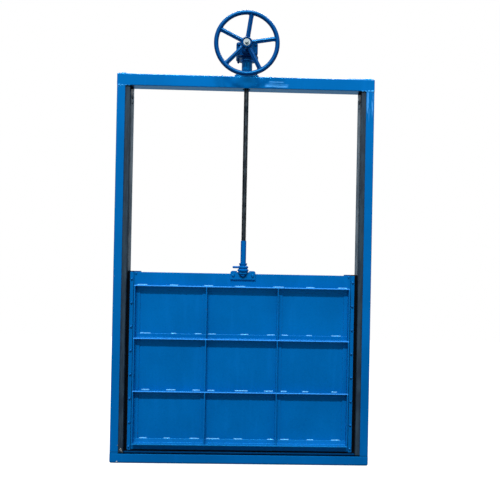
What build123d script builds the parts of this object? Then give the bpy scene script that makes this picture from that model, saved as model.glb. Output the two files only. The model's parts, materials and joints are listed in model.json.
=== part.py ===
from build123d import *
import os

os.makedirs("parts", exist_ok=True)

# A wall-mounted sluice gate with a rising stem, closed. Lengths are in millimetres.
# +X is right, +Y goes into the wall and +Z is up. The gate is centred on x = 0, the frame's back
# lies on y = 0 and the sill's underside on z = 0. A depth runs back from the frame's front plane.

# Frame
frame_width = 2030
frame_height = 3053
frame_depth = 120
wall = 8
fold_radius = 5
jamb_face = 65
jamb_back = 107
sill_height = 70
sill_corner = 15
beam_height = 92

# Guides and seals that line the jambs
guide_reach = 35
guide_depth = 48
guide_tongue = 20
seal_face_width = 38
seal_face_thickness = 28
lip_width = 8

# Leaf
leaf_top = 1496
leaf_edge_inset = 80
skin = 8
rib_rows = 4
rib_columns = 4
rib_reach = 63
rib_foot = 32
rib_plate = 8
top_rib_drop = 106
bottom_rib_rise = 73
outer_rib_inset = 62

# Leaf seals and what holds them
side_seal_width = 76
side_seal_thickness = 10
side_seal_overhang = 5
side_seal_corner = 30
side_bar_width = 27
side_bar_thickness = 6
bottom_seal_height = 9
seat_width = 70
seat_overhang = 26
seat_proud = 9
pad_width = 56
pad_height = 8

# Clearances
slide_gap = 5
stem_gap = 1.5
running_gap = 0.05
seated_gap = 0.3

# Stem and its foot
stem_radius = 18
stem_depth = 50
sleeve_radius = 22
sleeve_length = 178
collar_radius = 32
collar_height = 20
ring_radius = 41
ring_height = 24
nut_radius = 44
nut_height = 26
neck_share = 0.82
rim_share = 0.35
bevel_share = 0.2
nut_corner_share = 0.56
lug_radius = 9
lug_length = 42
bracket_width = 200
bracket_height = 70
bracket_rise = 23
bracket_thickness = 15
bracket_corner = 17
bracket_seat_drop = 9
shelf_width = 62
shelf_reach = 47
shelf_thickness = 16
shelf_corner = 12
pocket_radius = 29
stud_radius = 12
foot_nut_across = 34
foot_nut_height = 18
stud_end = 4

# Pedestal and gearbox
beam_hole_radius = 30
base_width = 190
base_margin = 2
base_thickness = 12
base_corner = 10
pipe_radius = 42
pipe_wall = 5
gearbox_rise = 154
flange_radius = 88
flange_thickness = 14
barrel_radius = 64
barrel_height = 88
shoulder_radius = 76
shoulder_height = 12
cover_thickness = 10
collar_rise = 16
collar_outer_radius = 34
boss_margin = 4
boss_reach = 95
input_flange_width = 168
input_flange_height = 100
input_flange_thickness = 16
input_flange_corner = 18
bearing_cap_radius = 42
bearing_cap_length = 28
shaft_radius = 15
shaft_stud_radius = 8
shaft_depth_share = 0.4
stem_end = 12

# Handwheel
wheel_radius = 250
wheel_stand_off = 200
rim_radius = 17.5
spokes = 5
first_spoke = 8.4
web_width = 34
web_thickness = 13
rib_width = 13
rib_thickness = 27
spoke_station_shares = (0.12, 0.26, 0.88, 0.97)
spoke_spread_shares = (1.15, 1, 1.02, 1.5)
hub_radius = 42
hub_length = 52
hub_bevel = 6
hub_recess_radius = 34
hub_recess = 8
washer_radius = 26
washer_thickness = 5
hub_nut_across = 24
hub_nut_height = 13

# Derived planes and levels
half_width = frame_width / 2
clear_half = half_width - jamb_back
lip_half = half_width - jamb_face
beam_bottom = frame_height - beam_height
skin_front = wall + guide_depth + slide_gap + side_seal_thickness
skin_back = skin_front + skin
leaf_half = half_width - leaf_edge_inset
side_seal_outer = leaf_half + side_seal_overhang
side_seal_inner = side_seal_outer - side_seal_width
seat_top = sill_height + seat_proud
leaf_bottom = seat_top + seated_gap + bottom_seal_height
rib_front = skin_front - rib_reach
bracket_top = leaf_top + bracket_rise
bracket_bottom = bracket_top - bracket_height
bracket_seat = bracket_top - bracket_seat_drop
pocket_top = bracket_seat - shelf_thickness
ring_bottom = bracket_seat + nut_height
collar_bottom = ring_bottom + ring_height
sleeve_bottom = collar_bottom + collar_height
base_top = frame_height + base_thickness
flange_top = frame_height + gearbox_rise
barrel_top = flange_top + barrel_height
cover_top = barrel_top + cover_thickness
collar_top = cover_top + collar_rise
stem_y = stem_depth - frame_depth
input_z = flange_top + barrel_height / 2
boss_radius = barrel_height / 2 - boss_margin
boss_front = stem_y - boss_reach
shaft_back = stem_y - boss_reach * shaft_depth_share
bearing_front = boss_front - input_flange_thickness - bearing_cap_length
wheel_y = -frame_depth - wheel_stand_off
hub_front = wheel_y - hub_length / 2 + hub_recess
nut_front = hub_front - washer_thickness - hub_nut_height


def back(depth):
    """The y of a depth behind the frame's front plane."""
    return depth - frame_depth


def upright_bar(outline, z_range):
    """A straight bar along Z. The outline is a list of (x, depth) corners."""
    face = make_face(Polyline(*[(x, back(depth), min(z_range)) for x, depth in outline], close=True))
    return extrude(face, max(z_range) - min(z_range), dir=(0, 0, 1))


def cross_bar(outline, x_range):
    """A straight bar along X. The outline is a list of (depth, z) corners."""
    face = make_face(Polyline(*[(min(x_range), back(depth), z) for depth, z in outline], close=True))
    return extrude(face, max(x_range) - min(x_range), dir=(1, 0, 0))


def corners(first_range, second_range):
    """The corners of a rectangle, in order round it."""
    (a, b), (c, d) = first_range, second_range
    return [(a, c), (b, c), (b, d), (a, d)]


def column(radius, z_range, x=0, y=stem_y):
    """A round bar along Z, on the stem's axis unless told otherwise."""
    return Pos(x, y, sum(z_range) / 2) * Cylinder(radius, max(z_range) - min(z_range))


def spindle(radius, y_range, x=0, z=input_z):
    """A round bar along Y, on the handwheel's axis unless told otherwise."""
    return Pos(x, sum(y_range) / 2, z) * Rot(90, 0, 0) * Cylinder(radius, max(y_range) - min(y_range))


def turned(outline):
    """The solid that an outline of (radius, z) corners sweeps round the stem's axis."""
    face = make_face(Polyline(*[(radius, 0, z) for radius, z in outline], close=True))
    return Pos(0, stem_y, 0) * revolve(face, Axis.Z)


def save(name, *solids):
    """Write one named piece, made of one or more solids that don't touch."""
    shape = solids[0] if len(solids) == 1 else Compound(list(solids))
    export_step(shape, f"parts/{name}.step")


def save_pair(name, solid):
    """Write a right-hand piece and its mirror twin."""
    save(f"right_{name}", solid)
    save(f"left_{name}", mirror(solid, about=Plane.YZ))


# Frame
def jamb():
    """A folded channel whose mouth holds the leaf's edge; its back flange is the wider one."""
    inner = half_width - wall
    outline = [
        (lip_half, 0), (half_width, 0), (half_width, frame_depth), (clear_half, frame_depth),
        (clear_half, frame_depth - wall), (inner, frame_depth - wall), (inner, wall), (lip_half, wall),
    ]
    channel = upright_bar(outline, (sill_height, beam_bottom))
    folds = [e for e in channel.edges().filter_by(Axis.Z) if e.center().X > half_width - seated_gap]
    return fillet(folds, fold_radius)


def sill_beam():
    """A channel, open upwards, with closed ends and round lower corners."""
    outside = cross_bar(corners((0, frame_depth), (0, sill_height)), (-half_width, half_width))
    low = [e for e in outside.edges().filter_by(Axis.Y) if e.center().Z < wall]
    outside = fillet(low, sill_corner)
    inner = half_width - wall
    return outside - cross_bar(corners((wall, frame_depth - wall), (wall, sill_height)), (-inner, inner))


def sill_seat():
    """The bar along the sill that the leaf's bottom seal closes on; its front edge overhangs the channel."""
    inner = half_width - wall
    rear = frame_depth - wall
    front = rear - seat_width
    web = front + seat_overhang
    outline = [
        (front, seat_top - wall), (front, seat_top), (skin_back, seat_top), (skin_back, sill_height),
        (rear, sill_height), (rear, wall), (rear - wall, wall), (rear - wall, sill_height - wall),
        (web + wall, sill_height - wall), (web + wall, wall), (web, wall), (web, seat_top - wall),
    ]
    return cross_bar(outline, (-inner, inner))


def top_beam():
    """A box section with closed ends, bored for the stem."""
    outside = cross_bar(corners((0, frame_depth), (beam_bottom, frame_height)), (-half_width, half_width))
    outside = fillet(outside.edges().filter_by(Axis.X), fold_radius)
    inner = half_width - wall
    levels = (beam_bottom + wall, frame_height - wall)
    hollow = cross_bar(corners((wall, frame_depth - wall), levels), (-inner, inner))
    return outside - hollow - column(beam_hole_radius, (beam_bottom, frame_height))


def front_guide():
    """The dark bar that lines the front of a jamb; its tongue lies behind the jamb's front flange."""
    nose_x = lip_half - guide_reach
    inner = half_width - wall
    outline = [
        (nose_x, wall), (inner, wall), (inner, wall + guide_tongue),
        (lip_half + wall, wall + guide_tongue), (lip_half + wall, wall + guide_depth),
        (nose_x, wall + guide_depth),
    ]
    return upright_bar(outline, (seat_top, beam_bottom))


def seal_face():
    """The strip on a jamb's back flange that the leaf's skin slides past."""
    rear = frame_depth - wall
    x_range = (clear_half, clear_half + seal_face_width)
    return upright_bar(corners(x_range, (rear - seal_face_thickness, rear)), (seat_top, beam_bottom))


def lip_seal():
    """The rubber edge of the clear opening."""
    depths = (frame_depth - wall - seal_face_thickness, frame_depth)
    return upright_bar(corners((clear_half - lip_width, clear_half), depths), (seat_top, beam_bottom))


# Leaf
def skin_plate():
    return upright_bar(corners((-leaf_half, leaf_half), (skin_front, skin_back)), (leaf_bottom, leaf_top))


def row_levels():
    """The heights of the horizontal ribs, top first."""
    top = leaf_top - top_rib_drop
    bottom = sill_height + bottom_rib_rise
    step = (top - bottom) / (rib_rows - 1)
    return [top - step * i for i in range(rib_rows)]


def column_lines():
    """The x of the vertical ribs, left first."""
    outer = clear_half - outer_rib_inset
    step = 2 * outer / (rib_columns - 1)
    return [step * i - outer for i in range(rib_columns)]


def angle_outline(line, side):
    """A rib's section as (position, depth) corners; its foot points to the side given as -1 or +1."""
    heel = line - side * rib_plate / 2
    inside = line + side * rib_plate / 2
    toe = inside + side * rib_foot
    foot_front = skin_front - rib_plate
    return [
        (heel, rib_front), (heel, skin_front), (toe, skin_front),
        (toe, foot_front), (inside, foot_front), (inside, rib_front),
    ]


def row_rib(level, side):
    """A horizontal rib, in one length from outer rib to outer rib."""
    end = column_lines()[-1] + rib_plate / 2
    return cross_bar([(depth, z) for z, depth in angle_outline(level, side)], (-end, end))


def column_rib(line, side, rows):
    """A vertical rib, cut where it meets the horizontal ones."""
    whole = upright_bar(angle_outline(line, side), (row_levels()[-1], row_levels()[0]))
    return (whole - rows).solids()


def side_seal():
    """A rubber strip down the leaf's edge, as high as the pad, with its upper corner cut off."""
    depths = (skin_front - side_seal_thickness, skin_front)
    levels = (leaf_bottom, leaf_top + pad_height)
    strip = upright_bar(corners((side_seal_inner, side_seal_outer), depths), levels)
    upper_corner = strip.edges().filter_by(Axis.Y).group_by(Axis.Z)[-1].sort_by(Axis.X)[-1]
    return chamfer(upper_corner, side_seal_corner)


def side_bar():
    """The bar that clamps a side seal, flush with the seal's inner edge."""
    seal_front = skin_front - side_seal_thickness
    x_range = (side_seal_inner, side_seal_inner + side_bar_width)
    depths = (seal_front - side_bar_thickness, seal_front)
    return upright_bar(corners(x_range, depths), (leaf_bottom, leaf_top))


def bottom_seal():
    depths = (skin_front - side_seal_thickness, skin_back)
    return cross_bar(corners(depths, (leaf_bottom - bottom_seal_height, leaf_bottom)), (-leaf_half, leaf_half))


def top_pad():
    """A stop pad on the leaf's upper edge, beside the seal."""
    x_range = (side_seal_inner - pad_width, side_seal_inner)
    levels = (leaf_top, leaf_top + pad_height)
    return upright_bar(corners(x_range, (skin_front, skin_back)), levels)


# Stem and what fastens it to the leaf
def stem():
    """The threaded rod; its thinner foot goes through the bracket's shelf."""
    rod = column(stem_radius, (bracket_seat, collar_top + stem_end))
    rod = chamfer(rod.edges().group_by(Axis.Z)[-1], stem_radius * bevel_share)
    return rod + column(stud_radius, (pocket_top - foot_nut_height - stud_end, bracket_seat))


def standing(radius, height):
    """A cylinder that stands on the XY plane."""
    return Pos(0, 0, height / 2) * Cylinder(radius, height)


def hex_nut(across, height, bore):
    """A nut that stands on the XY plane, with its corners turned off."""
    prism = extrude(RegularPolygon(across / 2, 6, major_radius=False), height)
    blank = standing(across * nut_corner_share, height)
    blank = chamfer(blank.edges().filter_by(GeomType.CIRCLE), height * bevel_share / 2)
    return (prism & blank) - standing(bore, height)


def foot_nut():
    """The nut in the bracket's pocket that lifts the leaf."""
    seat = pocket_top - foot_nut_height
    return Pos(0, stem_y, seat) * hex_nut(foot_nut_across, foot_nut_height, stud_radius)


def sleeve():
    body = column(sleeve_radius, (sleeve_bottom, sleeve_bottom + sleeve_length))
    return body - column(stem_radius + running_gap, (sleeve_bottom, sleeve_bottom + sleeve_length))


def on_stem(radius, bottom, height, cone_at_bottom):
    """A turned ring with a straight rim; a cone leads to it from below, from above or from both."""
    neck = radius * neck_share
    bore = stem_radius + running_gap
    rim = height * rim_share
    top = bottom + height
    low = top - rim if not cone_at_bottom else bottom + (height - rim) / 2
    outline = [(bore, bottom), (neck, bottom), (radius, low), (radius, low + rim), (neck, top), (bore, top)]
    return turned(outline)


def lock_ring():
    """The ring with the round locking pin that sticks out to the left."""
    ring = on_stem(ring_radius, ring_bottom, ring_height, True)
    start = -ring_radius * neck_share
    pin_z = ring_bottom + ring_height / 2
    pin = Pos(start - lug_length / 2, stem_y, pin_z) * Rot(0, 90, 0) * Cylinder(lug_radius, lug_length)
    tip = Pos(start - lug_length, stem_y, pin_z) * Sphere(lug_radius)
    return ring + pin + tip


def stem_bracket():
    """A plate on the leaf, with a shelf that the stem's foot hangs in and a round pocket for its nut."""
    front = skin_front - bracket_thickness
    half = bracket_width / 2
    plate = upright_bar(corners((-half, half), (front, skin_front)), (bracket_bottom, bracket_top))
    plate = fillet(plate.edges().filter_by(Axis.Y).group_by(Axis.Z)[-1], bracket_corner)
    seat_half = nut_radius + slide_gap
    plate -= upright_bar(corners((-seat_half, seat_half), (front, skin_front)), (bracket_seat, bracket_top))
    plate -= spindle(pocket_radius, (back(front), back(skin_front)), z=pocket_top)
    shelf_depths = (skin_front - shelf_reach, skin_front)
    shelf_corners = corners((-shelf_width / 2, shelf_width / 2), shelf_depths)
    shelf = upright_bar(shelf_corners, (pocket_top, bracket_seat))
    shelf = fillet(shelf.edges().filter_by(Axis.Z).group_by(Axis.Y)[0], shelf_corner)
    return plate + shelf - column(stud_radius + running_gap, (pocket_top, bracket_seat))


# Pedestal and gearbox
def pedestal_base():
    """The plate on the beam, bored for the stem's sleeve."""
    half = base_width / 2
    depths = (base_margin, 2 * stem_depth - base_margin)
    plate = upright_bar(corners((-half, half), depths), (frame_height, base_top))
    plate = fillet(plate.edges().filter_by(Axis.Z), base_corner)
    return plate - column(beam_hole_radius, (frame_height, base_top))


def pedestal_pipe():
    levels = (base_top, flange_top - flange_thickness)
    return column(pipe_radius, levels) - column(pipe_radius - pipe_wall, levels)


def pedestal_flange():
    """The round plate that carries the gearbox."""
    levels = (flange_top - flange_thickness, flange_top)
    flange = column(flange_radius, levels)
    flange = chamfer(flange.edges().filter_by(GeomType.CIRCLE), flange_thickness * bevel_share / 2)
    return flange - column(beam_hole_radius, levels)


def gearbox_housing():
    """The bevel gear's case: a barrel round the stem, and a boss for the input shaft."""
    bore = stem_radius + stem_gap
    foot_top = flange_top + flange_thickness
    shoulder = barrel_top - shoulder_height
    outline = [
        (bore, flange_top), (flange_radius, flange_top), (flange_radius, foot_top),
        (barrel_radius, foot_top + shoulder_height), (barrel_radius, shoulder - shoulder_height),
        (shoulder_radius, shoulder), (shoulder_radius, barrel_top), (bore, barrel_top),
    ]
    case = turned(outline) + spindle(boss_radius, (boss_front, stem_y))
    case -= column(bore, (flange_top, barrel_top))
    return case - spindle(shaft_radius + running_gap, (boss_front, shaft_back))


def gearbox_cover():
    """The lid on the barrel, with the collar that the stem rises through."""
    bore = stem_radius + stem_gap
    bevel = cover_thickness / 2
    outline = [
        (bore, barrel_top), (shoulder_radius, barrel_top), (shoulder_radius, cover_top - bevel),
        (shoulder_radius - bevel, cover_top), (collar_outer_radius, cover_top),
        (collar_outer_radius, collar_top), (bore, collar_top),
    ]
    return turned(outline)


def bearing_cover():
    """The four-cornered flange bolted to the boss, with the cap over the shaft's bearing."""
    face = RectangleRounded(input_flange_width, input_flange_height, input_flange_corner)
    seat = Plane(origin=(0, boss_front, input_z), x_dir=(1, 0, 0), z_dir=(0, -1, 0))
    flange = extrude(seat * face, input_flange_thickness)
    cap = spindle(bearing_cap_radius, (bearing_front, boss_front))
    cap = chamfer(cap.edges().group_by(Axis.Y)[0], bearing_cap_radius * bevel_share)
    return flange + cap - spindle(shaft_radius + running_gap, (bearing_front, boss_front))


# Handwheel
def arm(width, thickness):
    """An oval bar from the hub to the rim, straight for most of its length and wider at both ends."""
    reach = wheel_radius - rim_radius
    sections = []
    for station, spread in zip(spoke_station_shares, spoke_spread_shares):
        plane = Plane(origin=(0, 0, reach * station), x_dir=(1, 0, 0), z_dir=(0, 0, 1))
        sections.append(plane * Ellipse(width * spread / 2, thickness / 2))
    return loft(sections, ruled=True)


def handwheel():
    """A cast wheel in one piece: round rim, ribbed spokes and a bored hub with a sunk face."""
    rim = Rot(90, 0, 0) * Torus(wheel_radius - rim_radius, rim_radius)
    hub = Rot(90, 0, 0) * Cylinder(hub_radius, hub_length)
    wheel = rim + chamfer(hub.edges().filter_by(GeomType.CIRCLE), hub_bevel)
    spoke = arm(web_width, web_thickness) + arm(rib_width, rib_thickness)
    for i in range(spokes):
        wheel += Rot(0, first_spoke + 360 / spokes * i, 0) * spoke
    wheel = Pos(0, wheel_y, input_z) * wheel
    front = wheel_y - hub_length / 2
    wheel -= spindle(hub_recess_radius, (front, hub_front))
    return wheel - spindle(shaft_radius, (hub_front, wheel_y + hub_length / 2))


def input_shaft():
    """The shaft from inside the boss to the hub's face, and the threaded stud that ends it."""
    shaft = spindle(shaft_radius, (hub_front, shaft_back - seated_gap))
    return shaft + spindle(shaft_stud_radius, (nut_front - stud_end, hub_front))


def hub_washer():
    y_range = (hub_front - washer_thickness, hub_front)
    return spindle(washer_radius, y_range) - spindle(shaft_stud_radius, y_range)


def hub_nut():
    nut = hex_nut(hub_nut_across, hub_nut_height, shaft_stud_radius)
    return Pos(0, nut_front + hub_nut_height, input_z) * Rot(90, 0, 0) * nut


save_pair("jamb", jamb())
save_pair("front_guide", front_guide())
save_pair("seal_face", seal_face())
save_pair("lip_seal", lip_seal())
save("sill_beam", sill_beam())
save("sill_seat", sill_seat())
save("top_beam", top_beam())

save("skin_plate", skin_plate())
row_sides = [-1, 1, -1, 1]
rows = [row_rib(level, side) for level, side in zip(row_levels(), row_sides)]
for number, rib in enumerate(rows, start=1):
    save(f"row_rib_{number}", rib)
column_sides = [1, -1, 1, -1]
for number, (line, side) in enumerate(zip(column_lines(), column_sides), start=1):
    save(f"column_rib_{number}", *column_rib(line, side, rows))
save_pair("side_seal", side_seal())
save_pair("side_bar", side_bar())
save_pair("top_pad", top_pad())
save("bottom_seal", bottom_seal())

save("stem", stem())
save("foot_nut", foot_nut())
save("stem_sleeve", sleeve())
save("stem_collar", on_stem(collar_radius, collar_bottom, collar_height, False))
save("lock_ring", lock_ring())
save("stem_nut", on_stem(nut_radius, bracket_seat, nut_height, True))
save("stem_bracket", stem_bracket())

save("pedestal_base", pedestal_base())
save("pedestal_pipe", pedestal_pipe())
save("pedestal_flange", pedestal_flange())
save("gearbox_housing", gearbox_housing())
save("gearbox_cover", gearbox_cover())
save("bearing_cover", bearing_cover())

save("handwheel", handwheel())
save("input_shaft", input_shaft())
save("hub_washer", hub_washer())
save("hub_nut", hub_nut())
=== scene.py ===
# %% [markdown]
# # A sluice gate in blue enamel
# The gate's solids are built and packed already: a tall welded frame, a ribbed leaf that slides in it, a
# threaded stem, and a bevel gearbox with a handwheel. This notebook loads them as a fixed frame and adds
# what makes them look real: the view, the light, the finishes, and the small steel parts that a solid
# model leaves out. Lengths are in metres, +X is right, +Y goes into the wall and +Z is up.

# %% Load the packed gate
import json

import bmesh
import bpy
import numpy as np
from mathutils import Matrix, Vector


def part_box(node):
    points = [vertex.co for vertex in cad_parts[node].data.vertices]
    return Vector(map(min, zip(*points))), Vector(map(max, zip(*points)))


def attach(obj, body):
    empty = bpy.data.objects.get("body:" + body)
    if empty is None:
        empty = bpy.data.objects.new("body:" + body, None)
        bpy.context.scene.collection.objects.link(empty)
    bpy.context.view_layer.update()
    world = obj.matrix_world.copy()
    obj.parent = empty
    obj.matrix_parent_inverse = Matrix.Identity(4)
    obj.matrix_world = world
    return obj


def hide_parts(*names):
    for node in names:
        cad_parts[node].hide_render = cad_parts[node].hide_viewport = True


UP, DOWN, OUT = (0, 0, 1), (0, 0, -1), (0, -1, 0)
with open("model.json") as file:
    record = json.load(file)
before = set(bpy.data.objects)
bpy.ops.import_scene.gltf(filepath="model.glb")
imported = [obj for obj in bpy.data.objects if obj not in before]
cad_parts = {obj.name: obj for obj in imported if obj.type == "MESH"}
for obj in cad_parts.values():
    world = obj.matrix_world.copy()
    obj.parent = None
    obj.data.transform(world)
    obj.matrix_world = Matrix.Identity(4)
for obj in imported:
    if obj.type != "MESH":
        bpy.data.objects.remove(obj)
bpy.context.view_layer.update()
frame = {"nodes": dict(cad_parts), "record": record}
nodes = frame["nodes"]

# %% [markdown]
# ## The camera
# The picture was taken at eye height from more than five metres in front, close to the gate's middle. The
# camera was turned a little to the right and held a little askew, so that the gate leans by one degree.
# A camera can be turned by angles, but it is clearer to work out its three axes: two turns give the way
# it looks, and one more rolls the picture. The lens's axis doesn't meet the picture's middle, as in a
# picture that is cut from a wider one, and the lens's shift says by how much.

# %% Camera
def camera_axes(turn, tilt, roll):
    """The right, up and backward axes of a camera that looks along +Y, turned to the right, then tilted
    up, then rolled so that the picture turns clockwise. Angles are in degrees."""
    turn, tilt, roll = np.radians([turn, tilt, roll])
    ahead = np.array([np.sin(turn) * np.cos(tilt), np.cos(turn) * np.cos(tilt), np.sin(tilt)])
    level = np.array([np.cos(turn), -np.sin(turn), 0.0])
    above = np.cross(level, ahead)
    right = np.cos(roll) * level + np.sin(roll) * above
    up = np.cos(roll) * above - np.sin(roll) * level
    return np.column_stack([right, up, -ahead])


def stand(thing, axes, at):
    """Add a camera or lamp to the scene, turned to three axes given as columns, at a point."""
    placed = Matrix(axes.tolist()).to_4x4()
    placed.translation = at
    thing.matrix_world = placed
    bpy.context.scene.collection.objects.link(thing)


PICTURE = 500
SENSOR = 36.0
FOCAL_PIXELS = 670.3
SHIFT_PIXELS = (-21.94, 13.11)
TURN, TILT, ROLL = 1.526, 0.288, 1.109
EYE = (0.0869, -5.40, 1.559)
lens = bpy.data.cameras.new("camera")
lens.sensor_width = SENSOR
lens.lens = FOCAL_PIXELS / PICTURE * SENSOR
lens.shift_x, lens.shift_y = SHIFT_PIXELS[0] / PICTURE, SHIFT_PIXELS[1] / PICTURE
camera = bpy.data.objects.new("camera", lens)
stand(camera, camera_axes(TURN, TILT, ROLL), EYE)
bpy.context.scene.camera = camera
print("lens", round(lens.lens, 2), "mm")

# %% [markdown]
# ## Nodes as arithmetic
# A finish is a small calculation made at every point of a surface: noise, thresholds, mixes. Written node
# by node it is hard to read, so one class wraps a socket and lets Python's own operators add the Math
# nodes, and one method adds any other node from its type, its settings and its inputs. A few short methods
# on top of it give names to what every finish needs. Where a node has several sockets of one name, as
# Map Range, Mix, Vector Math and Mix Shader do, they are told apart by their numbers.

# %% Wire
class Wire:
    """A number, colour or vector inside a material. Arithmetic on a number adds Math nodes."""

    def __init__(self, graph, socket):
        self.graph, self.socket = graph, socket

    def maths(self, operation, *values):
        """A Math node on these values."""
        return self.graph.node("Math", {"operation": operation}, dict(enumerate(values)))

    def __add__(self, other): return self.maths("ADD", self, other)
    def __radd__(self, other): return self.maths("ADD", other, self)
    def __sub__(self, other): return self.maths("SUBTRACT", self, other)
    def __rsub__(self, other): return self.maths("SUBTRACT", other, self)
    def __mul__(self, other): return self.maths("MULTIPLY", self, other)
    def __rmul__(self, other): return self.maths("MULTIPLY", other, self)


print("a Wire can be added, subtracted and multiplied")

# %% Graph
class Graph:
    """The node tree of a material or of the world."""

    def __init__(self, owner):
        owner.use_nodes = True
        self.owner, self.tree = owner, owner.node_tree
        self.tree.nodes.clear()

    def node(self, kind, settings=None, inputs=None, output=0):
        """Add a node: settings first, then a value or a Wire for each input; returns one output."""
        made = self.tree.nodes.new("ShaderNode" + kind)
        for key, value in (settings or {}).items():
            setattr(made, key, value)
        for key, value in (inputs or {}).items():
            if isinstance(value, Wire):
                self.tree.links.new(value.socket, made.inputs[key])
            else:
                made.inputs[key].default_value = value
        return Wire(self, made.outputs[output]) if made.outputs else None

    def step(self, value, low, high):
        """0 below low, 1 above high, and a smooth rise between."""
        settings = {"interpolation_type": "SMOOTHSTEP"}
        return self.node("MapRange", settings, {0: value, 1: low, 2: high})

    def blend(self, amount, first, second):
        """A colour mixed from first to second; 2, 6 and 7 are the Mix node's sockets for colours."""
        settings = {"data_type": "RGBA"}
        return self.node("Mix", settings, {0: amount, 6: first, 7: second}, output=2)

    def place(self):
        """Where a point is, in its object's own coordinates."""
        return self.node("TexCoord", output="Object")

    def coordinate(self, axis):
        """One number of that place: axis 0 is X, 1 is Y and 2 is Z."""
        return self.node("SeparateXYZ", {}, {"Vector": self.place()}, output=axis)

    def noise(self, scale, stretch=(1, 1, 1), detail=3.0, shift=0.0):
        """Noise of about 0 to 1 on the object's own coordinates, with this many waves a metre."""
        moved = {"Vector": self.place(), "Location": (shift, shift, shift), "Scale": stretch}
        place = self.node("Mapping", {}, moved)
        return self.node("TexNoise", {}, {"Vector": place, "Scale": scale, "Detail": detail})

    def alike(self, first, second):
        """The cosine of the angle between two directions: 1 where they are the same."""
        return self.node("VectorMath", {"operation": "DOT_PRODUCT"}, {0: first, 1: second}, output="Value")

    def seen_by(self, kind):
        """1 for rays of one kind, Camera or Glossy, and 0 for all others."""
        return self.node("LightPath", output=f"Is {kind} Ray")

    def bumps(self, height, strength=0.5, **under):
        """The surface's direction, tilted by a height in metres."""
        return self.node("Bump", {}, {"Height": height, "Distance": 1.0, "Strength": strength, **under})

    def surface(self, color, **sockets):
        """Finish the graph with a Principled shader."""
        shader = self.node("BsdfPrincipled", {}, {"Base Color": color, **sockets})
        self.node("OutputMaterial", {}, {"Surface": shader})
        return self.owner


print("a Graph has", ", ".join(name for name in vars(Graph) if not name.startswith("_")))

# %% Colours
def rgb(*levels):
    """Screen levels from 0 to 255 as the linear colour that a shader works in."""
    share = np.array(levels) / 255
    linear = np.where(share > 0.04045, ((share + 0.055) / 1.055) ** 2.4, share / 12.92)
    return (*linear.tolist(), 1.0)


def tone(color, times, lift=0.0):
    """A lighter or darker colour: each of its levels times a factor plus a lift, and 1 at most."""
    return tuple(min(1.0, level * times + lift) for level in color[:3]) + (1.0,)


print("a middle grey is", round(rgb(128)[0], 3), "in linear light")

# %% [markdown]
# ## Blue enamel
# The gate is sprayed with gloss enamel over steel. Such a coat isn't one flat blue: it is a little darker
# where it is thin, it has the faint pebbling of a spray gun, broader waves from the plate under it, and
# chips at hard edges. An image could be wrapped round every piece, but noise on the piece's own
# coordinates needs no unwrapping and doesn't repeat. The Bevel node rounds sharp edges for the light only,
# as thick paint does, and the angle between the rounded and the plain surface tells where an edge is, so
# that it can be chipped there and painted lighter or darker: a painted highlight, or a painted shade.

# %% Edges and boxes of the coat
# Ranges of sharpness: for edges painted lighter or darker (painted highlight and painted shade), for chips, and
# for dull edges.
EDGE_PAINTED_LIGHT = (0.02, 0.2)
EDGE_CHIPPED = (0.02, 0.06)
EDGE_DULL = (0.005, 0.1)
LIT_FRONT_DEPTH = (0.001, 0.004)
BOX_FADE, SHADE_FADE = 0.012, 0.003
# The first colour shows in chips of primer, the second is the nearly black of painted shade, the third the pale
# blue of painted glints.
PRIMER, PAINTED_SHADE_DARK, GLINT_PALE = rgb(70, 66, 62), rgb(6, 10, 14), rgb(84, 166, 238)
MIRROR_TINT = (0.02, 0.5, 1.0, 1.0)


def inside(g, low, high, fade=BOX_FADE):
    """1 within a box of the object's coordinates, and a smooth fall to 0 at its sides."""
    within = 1.0
    for axis, (start, end) in enumerate(zip(low, high)):
        along = g.coordinate(axis)
        within = within * g.step(along, start - fade, start + fade) * (1 - g.step(along, end - fade, end + fade))
    return within


# The second fade is that of the boxes of painted shade.
print("a box fades over", 2 * BOX_FADE, "m, and mud over", 2 * SHADE_FADE, "m")

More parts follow.
